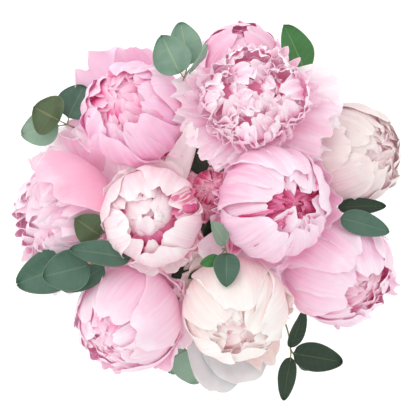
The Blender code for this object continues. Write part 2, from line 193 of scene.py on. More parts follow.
# Keeps each point's place on its flat grid: u from -1 to 1 across, v from 0 to 1 along
def unroll(tree, mesh):
    x, y = separate(source(tree, "GeometryNodeInputPosition"))[:2]
    shape = store(mesh, "acrossPetal", x)
    shape = store(shape, "alongPetal", (y + 1.0) * 0.5)
    return shape, read(tree, "acrossPetal"), read(tree, "alongPetal")


def bend(tree, shape, place, tone, u, v):  # moves the points and stores what the materials read
    shape = addNode(tree, "GeometryNodeSetPosition", {"Geometry": shape, "Position": place}).outputs["Geometry"]
    shape = store(shape, "petalTone", tone)
    return store(shape, "petalUv", vector(u * 0.5 + 0.5, v, 0.0), "FLOAT2", "CORNER")


petalSettings = {
    "Petals": 5, "Ball": 0.05, "Outer Size": 1.0, "Inner Size": 0.9, "Outer Reach": 120.0, "Inner Reach": 140.0,
    "Outer Width": 36.0, "Inner Width": 36.0, "Start": 8.0, "First Turn": 0.0, "Turn Step": 137.5,
    "Turn Jitter": 6.0, "Reach Jitter": 6.0, "Curve": 1.0, "Base Width": 0.35, "Tip Round": 0.16,
    "Imbricate": 0.04, "Flare": 0.0, "Ruffle": 0.03, "Ruffle Waves": 3.0, "Flute": 0.0, "Flute Waves": 3.0,
    "Notch": 6.0, "Notch Waves": 4.0, "Crumple": 0.02, "Crumple Size": 0.4, "Scatter": 0.0,
    "Across": 18, "Along": 18, "Seed": 1,
}


# Petals in a spiral round one ball: the first is the largest, and each later one lies inside the last.
# Reach and Start are angles up from the ball's base, and a width is the angle from a petal's middle to a side
def makePetalTree():
    tree, entry, given = newTree("petalSpiral", petalSettings)
    points = addNode(tree, "GeometryNodePoints", {"Count": given["Petals"]})
    spread = addNode(tree, "GeometryNodeInstanceOnPoints", {"Points": points.outputs[0],
                                                            "Instance": flatGrid(tree, given)})
    number = source(tree, "GeometryNodeInputIndex")
    numbered = store(spread.outputs["Instances"], "petalNumber", number, domain="INSTANCE")
    realize = addNode(tree, "GeometryNodeRealizeInstances", {"Geometry": numbered})
    shape, u, v = unroll(tree, realize.outputs["Geometry"])

    which, seed, ball = read(tree, "petalNumber"), given["Seed"], given["Ball"]
    dice = [chance(which, seed * 17.0 + i) for i in range(10)]
    inward = which / combine("MAXIMUM", given["Petals"] - 1.0, 1.0)
    radius = ball * blend(inward, given["Outer Size"], given["Inner Size"])
    reach = blend(inward, given["Outer Reach"], given["Inner Reach"]) + given["Reach Jitter"] * dice[0]
    half = blend(inward, given["Outer Width"], given["Inner Width"]) * (dice[1] * 0.10 + 1.0)
    turn = (given["First Turn"] + which * given["Turn Step"] + given["Turn Jitter"] * dice[2]) * degree

    edge = combine("ABSOLUTE", u)
    margin = noise(vector(u * given["Notch Waves"], which, 0.0), dice[3] * 9.0, 1.0, 3.0)
    ragged = given["Notch"] * (margin - 0.35) * v * v * 2.0
    dip = combine("EXPONENT", ((u - dice[4] * 0.3) * 7.0) ** 2.0 * -1.0)
    cleft = given["Notch"] * dip * v * v
    climb = (reach * (1.0 - given["Tip Round"] * (edge ** 3.0)) - given["Start"]) * v
    climb = (given["Start"] + climb - ragged - cleft) * degree
    swell = sine(combine("MINIMUM", v / 0.72, 1.0) * (math.pi / 2))
    width = given["Base Width"] + (1.0 - given["Base Width"]) * swell - 0.22 * (v ** 7.0)
    across = (half * width * u + dice[5] * 5.0 * v) * degree

    phase = dice[6] * 3.0
    wave = sine(u * given["Ruffle Waves"] * math.pi + phase + margin * 3.0)
    sideWave = sine(v * given["Ruffle Waves"] * 5.0 + phase * 2.0 + margin * 3.0)
    ruffle = given["Ruffle"] * (wave * (v ** 4.0) + sideWave * (edge ** 4.0) * smooth(v, 0.25, 0.6) * 0.7)
    flute = given["Flute"] * sine(u * given["Flute Waves"] * math.pi + phase * 1.7) * smooth(v, 0.1, 0.6)
    flare = given["Flare"] * (dice[7] * 0.35 + 1.0) * (v ** 4.0)
    seat = (1.0 - v) ** 3.0
    rho = radius * given["Curve"] + ball * (given["Imbricate"] * u + ruffle + flute + flare)
    rho = rho + (ball * given["Curve"] - radius * given["Curve"]) * seat
    sinT, cosT, sinF, cosF = sine(climb), cosine(climb), sine(turn), cosine(turn)
    sinA, cosA = sine(across), cosine(across)
    x = (sinT * cosA * cosF - sinA * sinF) * rho + ball * given["Scatter"] * dice[8] * v
    y = (sinT * cosA * sinF + sinA * cosF) * rho + ball * given["Scatter"] * dice[9] * v
    z = radius * given["Curve"] - radius - cosT * cosA * rho
    flat = vector(x, y, z)
    bumps = noise(flat, which * 3.7 + seed, 1.0 / (ball * given["Crumple Size"]), 2.0, "Color")
    bumps = vectorMath("SUBTRACT", bumps, (0.5, 0.5, 0.5))
    bumps = vectorMath("SCALE", bumps, ball * given["Crumple"] * smooth(v, 0.1, 0.8) * 2.0)
    shape = bend(tree, shape, vectorMath("ADD", flat, bumps), dice[0] * 0.5 + 0.5, u, v)
    return finishTree(tree, entry, store(shape, "petalDepth", inward))


leafSettings = {
    "Length": 0.04, "Width": 0.02, "Point": 0.8, "Fullness": 0.75, "Cup": 0.10, "Bow": 0.06, "Wave": 0.02,
    "Rib": 0.0004, "Side Veins": 7.0, "Across": 17, "Along": 28, "Seed": 1,
}


# One leaf along +Y from the origin, with its face towards +Z
def makeLeafTree():
    tree, entry, given = newTree("leafBlade", leafSettings)
    shape, u, v = unroll(tree, flatGrid(tree, given))
    edge = combine("ABSOLUTE", u)
    length, width = given["Length"], given["Width"]
    outline = combine("MAXIMUM", sine((v ** given["Point"]) * math.pi), 0.0) ** given["Fullness"]
    half = width * 0.5 * (outline * 0.97 + 0.03)
    slant = v * given["Side Veins"] * 2 * math.pi - edge * 4.5
    veins = (sine(slant) * 0.5 + 0.5) ** 6.0
    fine = noise(vector(u * 1.3, v * 1.6, 0.0), given["Seed"] * 1.7, 1.6, 1.0) - 0.5
    lift = width * given["Cup"] * u * u + length * given["Bow"] * sine(v * math.pi)
    lift = lift + width * given["Wave"] * sine(v * 11.0 + given["Seed"] * 1.0) * (edge ** 3.0)
    lift = lift + width * fine * 0.12 - given["Rib"] * (1.0 - smooth(edge, 0.0, 0.16))
    lift = lift - given["Rib"] * veins * 0.35 * smooth(edge, 0.05, 0.2)
    shape = bend(tree, shape, vector(half * u, length * v, lift), given["Seed"] * 0.37, u, v)
    return finishTree(tree, entry, shape)


stalkSettings = {"Radius": 0.0032, "Tip Share": 0.8, "Ribs": 5.0, "Rib Depth": 0.05, "Knots": 4.0,
                 "Sides": 16}


# A stem along a curve, faintly ribbed and a little swollen at its nodes
def makeStalkTree():
    tree, entry, given = newTree("stalk", stalkSettings)
    t = source(tree, "GeometryNodeSplineParameter", "Factor")
    knots = sine(t * given["Knots"] * math.pi) ** 20.0
    thick = addNode(tree, "GeometryNodeSetCurveRadius", {
        "Curve": store(entry.outputs["Geometry"], "alongPetal", t),
        "Radius": given["Radius"] * blend(t, 1.0, given["Tip Share"]) * (knots * 0.14 + 1.0)})
    ring = addNode(tree, "GeometryNodeCurvePrimitiveCircle", {"Resolution": given["Sides"], "Radius": 1.0})
    number = source(tree, "GeometryNodeInputIndex")
    bulge = cosine(number * given["Ribs"] * 2 * math.pi / given["Sides"]) * given["Rib Depth"] + 1.0
    swell = addNode(tree, "GeometryNodeSetPosition", {
        "Geometry": ring.outputs["Curve"],
        "Position": vectorMath("SCALE", source(tree, "GeometryNodeInputPosition"), bulge)})
    sweep = addNode(tree, "GeometryNodeCurveToMesh", {
        "Curve": thick.outputs["Curve"], "Profile Curve": swell.outputs["Geometry"],
        "Scale": source(tree, "GeometryNodeInputRadius"), "Fill Caps": True})
    shade = addNode(tree, "GeometryNodeSetShadeSmooth", {"Geometry": sweep.outputs["Mesh"]})
    return finishTree(tree, entry, shade.outputs["Geometry"])


def objectPlace(tree):
    return source(tree, "ShaderNodeTexCoord", "Object")


def petalUv(tree):  # u from 0 to 1 across a petal or leaf, v from its base to its tip
    return Field(tree, addNode(tree, "ShaderNodeAttribute", attribute_name="petalUv").outputs["Vector"])


def attribute(tree, name):
    return Field(tree, addNode(tree, "ShaderNodeAttribute", attribute_name=name).outputs["Fac"])


def mixColour(amount, first, second):
    node = addNode(amount.tree, "ShaderNodeMix", data_type="RGBA")
    for i, value in zip((0, 6, 7), (amount, first, second)):
        feed(amount.tree, node.inputs[i], value)
    return Field(amount.tree, node.outputs[2])


def stretch(place, size):  # a Mapping node, which scales a pattern on its piece
    node = addNode(place.tree, "ShaderNodeMapping", {"Vector": place, "Scale": size})
    return Field(place.tree, node.outputs["Vector"])


def screen(code):  # a colour as it looks on a screen, from its hex code
    values = [int(code[i:i + 2], 16) / 255 for i in (0, 2, 4)]
    return tuple(v / 12.92 if v < 0.04045 else ((v + 0.055) / 1.055) ** 2.4 for v in values) + (1.0,)


def newShaderGroup(name, inputs, outputs):
    tree = bpy.data.node_groups.new(name, "ShaderNodeTree")
    for label, value in inputs.items():
        kind = "NodeSocketColor" if isinstance(value, tuple) else "NodeSocketFloat"
        tree.interface.new_socket(label, in_out="INPUT", socket_type=kind).default_value = value
    for label, kind in outputs.items():
        tree.interface.new_socket(label, in_out="OUTPUT", socket_type=kind)
    entry = tree.nodes.new("NodeGroupInput")
    return tree, {label: Field(tree, entry.outputs[label]) for label in inputs}


# Fine veins that run from the base of a petal to its margin, and fan out with it
def makeVeinGroup():
    tree, given = newShaderGroup("growthVeins", {"Count": 26.0, "Wander": 0.5, "Contrast": 1.0},
                                 {"Lines": "NodeSocketFloat"})
    u, v = separate(petalUv(tree))[:2]
    tone = attribute(tree, "petalTone")
    drift = noise(vector(u * 5.0, v * 2.0, 0.0), tone * 23.0, 1.0, 2.0) * given["Wander"] * 0.2
    streaks = noise(vector((u + drift) * given["Count"], v * 1.6, 0.0), tone * 31.0, 1.0, 3.0)
    lines = combine("MINIMUM", (streaks - 0.5) * given["Contrast"] * 3.0 + 0.5, 1.0)
    addNode(tree, "NodeGroupOutput", {"Lines": combine("MAXIMUM", lines, 0.0)})
    return tree


# A petal's colour: deep at its base, lighter towards the margin, streaked by its veins, flamed on a few petals
def makePetalGroup(veins):
    tree, given = newShaderGroup(
        "petalColour", {"Base": screen("D98BB0"), "Body": screen("F0C8DA"), "Margin": screen("FAEDF1"),
                        "Flame": screen("B01858"), "Flame Share": 0.1, "Base Reach": 0.5, "Margin Width": 0.2,
                        "Inner Depth": 0.5},
        {"Colour": "NodeSocketColor", "Height": "NodeSocketFloat", "Roughness": "NodeSocketFloat"})
    u, v = separate(petalUv(tree))[:2]
    tone, depth = attribute(tree, "petalTone"), attribute(tree, "petalDepth")
    cloud = noise(objectPlace(tree), tone * 5.0, 60.0, 3.0)
    lines = Field(tree, addNode(tree, "ShaderNodeGroup", {"Count": 34.0}, node_tree=veins).outputs["Lines"])
    reach = given["Base Reach"] + (cloud - 0.5) * 0.5 + (lines - 0.5) * 0.22
    reach = reach + (tone - 0.5) * 0.25 + depth * given["Inner Depth"] * 0.3
    deep = 1.0 - smooth(v, reach - 0.45, reach + 0.30)
    rim = combine("MAXIMUM", v, combine("ABSOLUTE", u - 0.5) * 2.0)
    rim = rim + (cloud - 0.5) * 0.25 + (lines - 0.5) * 0.12
    rim = smooth(rim, 1.0 - given["Margin Width"], 1.02)
    colour = mixColour(deep, given["Body"], given["Base"])
    colour = mixColour(rim * 0.9, colour, given["Margin"])
    flamed = smooth(combine("FRACT", tone * 7.31), 1.0 - given["Flame Share"], 1.06 - given["Flame Share"])
    tongues = noise(vector(u * 9.0, v * 1.5, 0.0), tone * 41.0, 1.0, 3.0) + (lines - 0.5) * 0.3
    tongues = smooth(tongues, 0.47, 0.60) * (1.0 - smooth(v, 0.80, 0.97))
    colour = mixColour(flamed * tongues, colour, given["Flame"])
    colour = mixColour((lines - 0.5) * 0.35 + 0.16, colour, given["Base"])
    grain = noise(stretch(petalUv(tree), (90.0, 30.0, 1.0)), tone * 3.0, 1.0, 2.0)
    addNode(tree, "NodeGroupOutput", {
        "Colour": vectorMath("SCALE", colour, (cloud - 0.5) * 0.16 + (tone - 0.5) * 0.10 + 1.0),
        "Height": lines * 0.7 + grain * 0.3, "Roughness": 0.62 - lines * 0.12 + (cloud - 0.5) * 0.1})
    return tree


def newMaterial(name, roughness, **constants):
    made = bpy.data.materials.new(name)
    made.use_nodes = True
    shader = made.node_tree.nodes["Principled BSDF"]
    shader.inputs["Roughness"].default_value = roughness
    for label, value in constants.items():
        shader.inputs[label.replace("_", " ")].default_value = value
    return made, made.node_tree, shader


def dress(tree, shader, colour, roughness, height, strength, distance):
    bump = addNode(tree, "ShaderNodeBump", {"Strength": strength, "Distance": distance, "Height": height})
    for label, value in (("Base Color", colour), ("Roughness", roughness), ("Normal", bump.outputs["Normal"])):
        feed(tree, shader.inputs[label], value)


# The glow of thin petals that light one another stands in as a faint light of their own
def petalMaterial(name, group, colours, glow):
    made, tree, shader = newMaterial(name, 0.6, Subsurface_Weight=0.75, Subsurface_Radius=(1.0, 0.75, 0.8),
                                     Subsurface_Scale=0.0005, Sheen_Weight=0.15, Sheen_Roughness=0.5,
                                     Emission_Color=screen(colours["Base"]), Emission_Strength=glow)
    values = {label: screen(value) if isinstance(value, str) else value for label, value in colours.items()}
    out = addNode(tree, "ShaderNodeGroup", values, node_tree=group).outputs
    dress(tree, shader, out["Colour"], out["Roughness"], out["Height"], 0.35, 0.0006)
    return made


# Green tissue: a pale midrib and side veins on a waxy blade, with a thin lighter rim
def greenMaterial(name, dark, light, rib, wax, gloss=0.45, midrib=0.05):
    made, tree, shader = newMaterial(name, gloss, Subsurface_Weight=0.08, Subsurface_Radius=(0.3, 0.8, 0.2),
                                     Subsurface_Scale=0.0015)
    u, v = separate(petalUv(tree))[:2]
    tone, place = attribute(tree, "petalTone"), objectPlace(tree)
    edge = combine("ABSOLUTE", u - 0.5) * 2.0
    cloud = noise(place, tone * 5.0, 45.0, 4.0)
    branch = noise(vector(v * 9.0 - edge * 1.2, edge * 0.6, 0.0), tone * 9.0, 1.0, 1.0)
    net = (sine((v * 7.0 - edge * 0.8) * 2 * math.pi + (branch - 0.5) * 3.0) * 0.5 + 0.5) ** 9.0
    main = 1.0 - smooth(edge, midrib * 0.4, midrib * 1.6)
    colour = mixColour(smooth(cloud + (tone - 0.5) * 0.3, 0.30, 0.70), screen(dark), screen(light))
    colour = mixColour(smooth(noise(place, 2.0, 22.0, 3.0), 0.42, 0.68) * 0.5, colour, screen(wax))
    colour = mixColour(combine("MAXIMUM", main * 0.5, net * 0.09), colour, screen(rib))
    colour = mixColour(smooth(edge, 0.95, 0.995) * 0.35, colour, screen("9FB59A"))
    grain = noise(place, 7.0, 900.0, 2.0)
    dress(tree, shader, colour, cloud * 0.25 + gloss, main * 1.0 + net * 0.5 + grain * 0.25, 0.4, 0.0005)
    return made


def stalkMaterial(name, dark, light, blush):
    made, tree, shader = newMaterial(name, 0.5, Subsurface_Weight=0.05, Subsurface_Scale=0.001)
    place = objectPlace(tree)
    streaks = noise(stretch(place, (260.0, 260.0, 22.0)), 1.0, 1.0, 3.0)
    patches = noise(place, 3.0, 28.0, 3.0)
    colour = mixColour(smooth(streaks, 0.35, 0.65), screen(dark), screen(light))
    colour = mixColour(smooth(patches, 0.52, 0.75) * 0.5, colour, screen(blush))
    dress(tree, shader, colour, streaks * 0.2 + 0.4, streaks, 0.4, 0.0005)
    return made


# Glazed stoneware: a satin cream glaze, iron specks, thin where it breaks over the rings, bare at the foot
def glazeMaterial(settings):
    made, tree, shader = newMaterial("creamGlaze", 0.3, Coat_Weight=0.35, Coat_Roughness=0.12,
                                     Specular_IOR_Level=0.5)
    place = objectPlace(tree)
    height = separate(place)[2]
    cloud = noise(place, 0.0, 16.0, 4.0)
    specks = smooth(noise(place, 2.0, 620.0, 1.0), 0.72, 0.78)
    specks = specks * smooth(noise(place, 4.0, 80.0, 1.0), 0.35, 0.6)
    rings = sine(height * 2 * math.pi / settings["ringPitch"] + cloud * 4.0) * 0.5 + 0.5
    bare = 1.0 - smooth(height + (cloud - 0.5) * 0.004, 0.0035, 0.0055)
    lip = smooth(height, settings["height"] - 0.0035, settings["height"] - 0.0005)
    colour = mixColour(smooth(cloud, 0.35, 0.7) * 0.6, screen("EDE8DE"), screen("E2DACB"))
    colour = mixColour((1.0 - rings) * 0.12, colour, screen("CDBFA8"))
    colour = mixColour(specks * 0.75, colour, screen("7B6650"))
    colour = mixColour(lip * 0.35, colour, screen("B79B78"))
    colour = mixColour(bare, colour, screen("C4A98A"))
    clay = noise(place, 9.0, 1400.0, 1.0) * bare * 0.3
    relief = rings * 0.3 + cloud * 0.4 - specks * 0.3 + clay
    dress(tree, shader, colour, bare * 0.45 + cloud * 0.12 + 0.24, relief, 0.25, 0.0007)
    return made


def grow(name, tree, settings, material, data=None, thickness=0.0):  # a tree's result as a plain mesh
    obj = bpy.data.objects.new(name, data or bpy.data.meshes.new(name))
    bpy.context.scene.collection.objects.link(obj)
    modifier = obj.modifiers.new("grow", "NODES")
    modifier.node_group = tree
    values = {**settings, "Material": material}
    for item in tree.interface.items_tree:
        if item.in_out == "INPUT" and item.name in values:
            modifier[item.identifier] = values[item.name]
    if thickness:
        shell = obj.modifiers.new("thickness", "SOLIDIFY")
        shell.thickness, shell.offset = thickness, 0.0
    graph = bpy.context.evaluated_depsgraph_get()
    grown = obj.evaluated_get(graph)
    mesh = bpy.data.meshes.new_from_object(grown, preserve_all_data_layers=True, depsgraph=graph)
    bpy.data.objects.remove(obj)
    return mesh


def assemble(name, parts, replaced, sharp=60):  # one piece from meshes, each with its place
    objects = []
    for mesh, place in parts:
        if place is not None:
            mesh.transform(place)
        obj = bpy.data.objects.new(name, mesh)
        bpy.context.scene.collection.objects.link(obj)
        objects.append(obj)
    piece = objects[0]
    if len(objects) > 1:
        with bpy.context.temp_override(active_object=piece, object=piece, selected_objects=objects,
                                       selected_editable_objects=objects):
            bpy.ops.object.join()
    piece.name = name
    piece.data.shade_smooth()
    piece.data.set_sharp_from_angle(angle=math.radians(sharp))
    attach(piece, "root")
    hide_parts(*replaced)
    return piece


def camel(*words):
    parts = "_".join(words).split("_")
    return parts[0] + "".join(part.capitalize() for part in parts[1:])


def bezier(a, b, c, d, count):
    made = []
    for i in range(1, count + 1):
        t = i / count
        s = 1.0 - t
        made.append(a * s ** 3 + b * 3 * s * s * t + c * 3 * s * t * t + d * t ** 3)
    return made


def throughPoints(points, perSpan):  # a smooth curve through the points, as a list of points
    made = [points[0]]
    for i in range(len(points) - 1):
        a, b = points[i], points[i + 1]
        before = points[i - 1] if i else a
        after = points[i + 2] if i + 2 < len(points) else b
        made += bezier(a, a + (b - before) / 6, b - (after - a) / 6, b, perSpan)
    return made


def frozen(bm, name, material):  # a finished bmesh as a mesh
    mesh = bpy.data.meshes.new(name)
    bm.to_mesh(mesh)
    bm.free()
    mesh.materials.append(material)
    return mesh


def stalkMesh(name, points, settings, material):
    curve = bpy.data.curves.new(name, "CURVE")
    curve.dimensions = "3D"
    spline = curve.splines.new("POLY")
    spline.points.add(len(points) - 1)
    for point, place in zip(spline.points, points):
        point.co = (*place, 1.0)
    return grow(name, stalkTree, {**stalkSettings, **settings}, material, curve), None


def leafMesh(name, base, tip, face, settings, material):  # a blade laid from base to tip, facing face
    length = (tip - base).length
    forward = (tip - base).normalized()
    side = forward.cross(Vector(face)).normalized()
    up = side.cross(forward)
    place = Matrix.Translation(base) @ Matrix((side, forward, up)).transposed().to_4x4()
    shape = {**leafSettings, **settings, "Length": length}
    return grow(name, leafTree, shape, material, thickness=leafFinish["thickness"]), place


petalTree, leafTree, stalkTree = makePetalTree(), makeLeafTree(), makeStalkTree()
petalGroup = makePetalGroup(makeVeinGroup())
print("trees made")

# The vase
vase = {"height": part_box("vase")[1][2], "wall": 0.0045, "base": 0.007, "foot": 0.052, "belly": 0.074,
        "neck": 0.049, "lip": 0.054, "steps": 128, "rings": 0.00022, "ringPitch": 0.0062}


def makeVase():
    h, wall, foot, mouth = vase["height"], vase["wall"], vase["foot"], vase["lip"]
    neck, belly = vase["neck"], vase["belly"]
    outer = [(mouth - 0.0012, h), (mouth, h - 0.0012), (mouth - 0.0004, h - 0.004), (neck, h * 0.90),
             (neck * 1.04, h * 0.82), (belly * 0.90, h * 0.64), (belly, h * 0.42), (belly * 0.93, h * 0.20),
             (foot * 1.06, h * 0.04), (foot + 0.0008, 0.0016), (foot - 0.0006, 0.0)]
    inner = [(foot - 0.010, vase["base"]), (foot - 0.0045, vase["base"] + 0.003)]
    inner += [(r - wall, z) for r, z in reversed(outer[3:9])]
    outer, inner = ([Vector((r, 0, z)) for r, z in side] for side in (outer, inner))
    smoothOuter = throughPoints(outer[:3], 3) + throughPoints(outer[2:9], 10)[1:] + outer[9:]
    for place in smoothOuter:
        if 0.01 < place.z < h * 0.93:
            place.x += vase["rings"] * math.sin(place.z * 2 * math.pi / vase["ringPitch"])
    rim = [Vector((mouth - wall, 0, h - 0.0012)), Vector((mouth - wall + 0.0014, 0, h))]
    under = [Vector((foot - 0.006, 0, 0.0)), Vector((foot - 0.0075, 0, 0.0018)), Vector((0, 0, 0.0022))]
    profile = [Vector((0, 0, vase["base"]))] + throughPoints(inner, 5) + rim + smoothOuter + under
    bm = bmesh.new()
    verts = [bm.verts.new(place) for place in profile]
    for a, b in zip(verts, verts[1:]):
        bm.edges.new((a, b))
    bmesh.ops.spin(bm, geom=bm.verts[:] + bm.edges[:], cent=(0, 0, 0), axis=(0, 0, 1), angle=2 * math.pi,
                   steps=vase["steps"], use_merge=True)
    bmesh.ops.remove_doubles(bm, verts=bm.verts, dist=1e-6)
    bmesh.ops.recalc_face_normals(bm, faces=bm.faces)
    assemble("glazedVase", [(frozen(bm, "vase", glazeMaterial(vase)), None)], ["vase"], 40)


# The ring of stems in the neck
bouquet = {"stem": 0.0064, "sprig": 0.0032, "clearance": 0.0030, "lean": 24, "core": 0.72}
lip = Vector((0, 0, vase["height"]))


def ringBearings():
    aims = {"stem_" + name: math.atan2(*bloomCentre(name).yx) for name in peonies}
    for name, sprig in sprigs.items():
        x, y, z = sprig["route"][1]
        aims["sprig_" + name] = math.atan2(y, x)
    order = sorted(aims, key=aims.get)
    step = 2 * math.pi / len(order)
    turn = sum(aims[name] - i * step for i, name in enumerate(order)) / len(order)
    return {name: turn + i * step for i, name in enumerate(order)}


def lowerStem(angle, diameter):
    neck = vase["neck"] - vase["wall"] - bouquet["clearance"] - bouquet["stem"] / 2
    foot = vase["foot"] - vase["wall"] * 2 - bouquet["stem"]
    lean = angle + math.radians(bouquet["lean"])
    low = Vector((foot * math.cos(lean), foot * math.sin(lean), vase["base"] + diameter * 0.5))
    return low, Vector((neck * math.cos(angle), neck * math.sin(angle), vase["height"] * 0.94))


# The peonies
petalFinish = {"thickness": 0.00038, "glow": 0.08}
leafFinish = {"thickness": 0.00042}

# The three layers of a bloom that has half opened: its big outer petals close over into a ball. A pair of
# sizes, reaches or widths belongs to the layer's outermost and innermost petal
ballGuards = {"Petals": 6, "Size": (1.03, 0.97), "Reach": (140, 156), "Width": (46, 42), "Reach Jitter": 9.0,
              "Imbricate": 0.022, "Ruffle": 0.022, "Crumple": 0.035, "Crumple Size": 0.6, "Notch": 6.0,
              "Tip Round": 0.34, "Flute": 0.016, "Across": 24, "Along": 28}
ballWraps = {"Petals": 7, "Size": (0.96, 0.90), "Reach": (152, 162), "Width": (42, 38), "Imbricate": 0.03,
             "Ruffle": 0.035, "Crumple": 0.04, "Notch": 12.0, "Notch Waves": 5.0, "First Turn": 40.0,
             "Turn Jitter": 22.0, "Reach Jitter": 11.0, "Flute": 0.014, "Tip Round": 0.30, "Across": 24,
             "Along": 28}
ballHeart = {"Petals": 22, "Size": (0.88, 0.76), "Reach": (154, 194), "Width": (38, 60), "Imbricate": 0.03,
             "Ruffle": 0.05, "Crumple": 0.05, "Crumple Size": 0.45, "Notch": 16.0, "Notch Waves": 5.0,
             "Flute": 0.025, "First Turn": 80.0, "Turn Jitter": 50.0, "Reach Jitter": 9.0, "Scatter": 0.05,
             "Tip Round": 0.26, "Across": 22, "Along": 24}

# A small closed ball that stands free inside a bloom's opening
innerBall = {"Petals": 8, "Size": (1.0, 0.92), "Reach": (152, 184), "Width": (56, 54), "Notch": 8.0,
             "Crumple": 0.04, "Flute": 0.02, "Ruffle": 0.03}

# Each look's base, body, margin and flame, its share of flamed petals, its margin's width, its hearts' base
petalShades = ("Base", "Body", "Margin", "Flame", "Flame Share", "Margin Width")
petalLooks = {
    "blush": ("F4BBD0", "FAE8EA", "FEF7F5", "CE1C66", 0.10, 0.2, "E24A8A"),
    "lilac": ("EEA8CC", "F9DCE9", "FDF1F6", "C61A70", 0.0, 0.2, "DA3E8A"),
    "rose": ("F292C6", "F9D2E6", "FDE9F2", "E0288A", 0.08, 0.2, "E63C94"),
    "shell": ("F3B2D0", "FADCE9", "FEF2F6", "E2489A", 0.04, 0.2, "F07CB4"),
    "frill": ("FAB4D2", "FDE6F0", "FFF6F9", "E2388E", 0.10, 0.36, "F47CB2"),
    "dusk": ("E796BC", "F0C2D8", "F6D8E6", "E2489A", 0.04, 0.2, "E874AC"),
    "pearl": ("E0BCC6", "EAE0DC", "F6F1EC", "C05A84", 0.0, 0.2, "EBB8C8"),
    "cream": ("EFCFD0", "FAF2EC", "FDFAF6", "D07C92", 0.0, 0.2, "EDAFBC"),
    "crimson": ("D03A7C", "F2A8C6", "FADFE8", "BC1460", 0.6, 0.2, "C8246C"),
    # The deep crimson look of some bloom openings and core balls is partly the flower's deeper inner colour and
    # partly painted shade of the hollows between its petals
    "hollow": ("C2185E", "D64A8A", "EE9CC2", "A80C50", 0.0, 0.2, "C2185E"),
}

ruffled = {"Ruffle": 0.08, "Notch": 9.0, "Notch Waves": 13.0, "Flute": 0.035, "Crumple": 0.06, "Across": 34,
           "Flare": 0.05}
skirt = {**ruffled, "Flare": 0.45}


# A petal that has come away from its ball: its tip in mm from the middle of the vase's lip, then its width
def petal(x, y, z, width, tint="", ruffle=ballGuards["Ruffle"], shape={}):
    return {"tip": Vector((x / 1000, y / 1000, z / 1000)), "Outer Width": float(width), "tint": tint,
            "Ruffle": ruffle, **shape}


